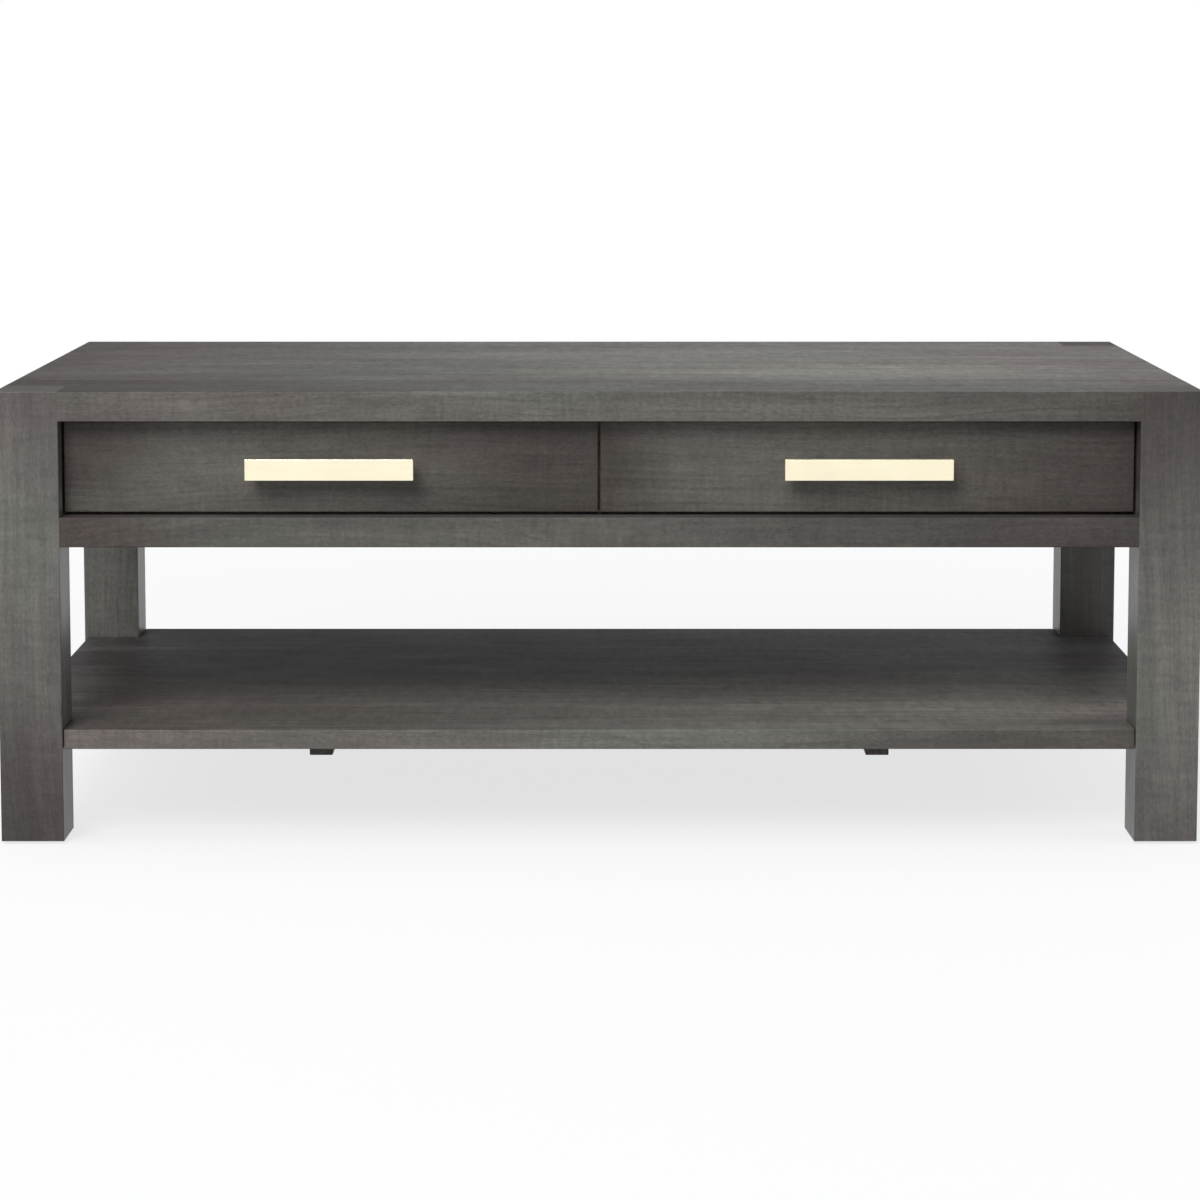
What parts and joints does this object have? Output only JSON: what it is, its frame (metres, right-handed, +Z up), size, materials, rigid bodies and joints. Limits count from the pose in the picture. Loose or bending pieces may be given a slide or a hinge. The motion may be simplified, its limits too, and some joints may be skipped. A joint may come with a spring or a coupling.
{
  "type": "coffee table",
  "caption": "Rectangular wooden coffee table with square corner legs flush with the top, recessed drawers on full-extension slides and an open lower shelf.",
  "frame": {"origin": "on the floor, under the middle of the table", "axes": "+X to the right along the length, +Y to the back, +Z up; the drawers open towards -Y"},
  "size_m": [1.27, 0.6668, 0.483],
  "materials": {
    "stained_wood": "grey-brown stain, satin lacquer",
    "inner_wood": "bare sanded",
    "drawer_wood": "clear lacquer",
    "handle_metal": "satin pale gold plating",
    "slide_steel": "bright zinc plating",
    "screw_steel": "zinc plating",
    "glide_plastic": "moulded nylon"
  },
  "bodies": {
    "frame": {"top_panel": "stained_wood", "back_apron": "stained_wood", "front_rail": "stained_wood", "lower_shelf": "stained_wood", "leg_front_left": "stained_wood", "leg_front_right": "stained_wood", "leg_back_left": "stained_wood", "leg_back_right": "stained_wood", "side_apron_left": "stained_wood", "side_apron_right": "stained_wood", "shelf_batten_left": "stained_wood", "shelf_batten_right": "stained_wood", "upper_stretcher": "inner_wood", "centre_divider": "inner_wood", "slide_packer_left": "inner_wood", "slide_packer_right": "inner_wood", "slide_case_screws": "screw_steel", "packer_screws": "screw_steel", "batten_screws": "screw_steel", "top_clip_screws": "screw_steel", "top_clips": "slide_steel", "leg_glides": "glide_plastic", "shelf_dowels": "drawer_wood", "left_slide_case_rail_outer": "slide_steel", "left_slide_case_rail_inner": "slide_steel", "right_slide_case_rail_outer": "slide_steel", "right_slide_case_rail_inner": "slide_steel"},
    "left_drawer": {"left_drawer_front": "stained_wood", "left_drawer_subfront": "drawer_wood", "left_drawer_side_outer": "drawer_wood", "left_drawer_side_inner": "drawer_wood", "left_drawer_back": "drawer_wood", "left_drawer_bottom": "drawer_wood", "left_handle": "handle_metal", "left_handle_screws": "screw_steel", "left_front_screws": "screw_steel", "left_slide_drawer_screws": "screw_steel", "left_slide_drawer_rail_outer": "slide_steel", "left_slide_drawer_rail_inner": "slide_steel"},
    "left_middle_rails": {"left_slide_middle_rail_outer": "slide_steel", "left_slide_middle_rail_inner": "slide_steel"},
    "left_outer_cages": {"left_outer_ball_cages": "slide_steel"},
    "left_inner_cages": {"left_inner_ball_cages": "slide_steel"},
    "right_drawer": {"right_drawer_front": "stained_wood", "right_drawer_subfront": "drawer_wood", "right_drawer_side_outer": "drawer_wood", "right_drawer_side_inner": "drawer_wood", "right_drawer_back": "drawer_wood", "right_drawer_bottom": "drawer_wood", "right_handle": "handle_metal", "right_handle_screws": "screw_steel", "right_front_screws": "screw_steel", "right_slide_drawer_screws": "screw_steel", "right_slide_drawer_rail_outer": "slide_steel", "right_slide_drawer_rail_inner": "slide_steel"},
    "right_middle_rails": {"right_slide_middle_rail_outer": "slide_steel", "right_slide_middle_rail_inner": "slide_steel"},
    "right_outer_cages": {"right_outer_ball_cages": "slide_steel"},
    "right_inner_cages": {"right_inner_ball_cages": "slide_steel"}
  },
  "joints": [
    {"name": "left_drawer_slide", "type": "slide", "parent": "frame", "child": "left_drawer", "axis": [0, -1, 0], "range_m": [0, 0.5]},
    {"name": "left_middle_rails_slide", "type": "slide", "parent": "frame", "child": "left_middle_rails", "axis": [0, -1, 0], "range_m": [0, 0.25]},
    {"name": "left_outer_cages_slide", "type": "slide", "parent": "frame", "child": "left_outer_cages", "axis": [0, -1, 0], "range_m": [0, 0.125]},
    {"name": "left_inner_cages_slide", "type": "slide", "parent": "frame", "child": "left_inner_cages", "axis": [0, -1, 0], "range_m": [0, 0.375]},
    {"name": "right_drawer_slide", "type": "slide", "parent": "frame", "child": "right_drawer", "axis": [0, -1, 0], "range_m": [0, 0.5]},
    {"name": "right_middle_rails_slide", "type": "slide", "parent": "frame", "child": "right_middle_rails", "axis": [0, -1, 0], "range_m": [0, 0.25]},
    {"name": "right_outer_cages_slide", "type": "slide", "parent": "frame", "child": "right_outer_cages", "axis": [0, -1, 0], "range_m": [0, 0.125]},
    {"name": "right_inner_cages_slide", "type": "slide", "parent": "frame", "child": "right_inner_cages", "axis": [0, -1, 0], "range_m": [0, 0.375]}
  ],
  "couplings": [
    {"joint": "left_middle_rails_slide", "follows": "left_drawer_slide", "ratio": 0.5},
    {"joint": "left_outer_cages_slide", "follows": "left_drawer_slide", "ratio": 0.25},
    {"joint": "left_inner_cages_slide", "follows": "left_drawer_slide", "ratio": 0.75},
    {"joint": "right_middle_rails_slide", "follows": "right_drawer_slide", "ratio": 0.5},
    {"joint": "right_outer_cages_slide", "follows": "right_drawer_slide", "ratio": 0.25},
    {"joint": "right_inner_cages_slide", "follows": "right_drawer_slide", "ratio": 0.75}
  ]
}
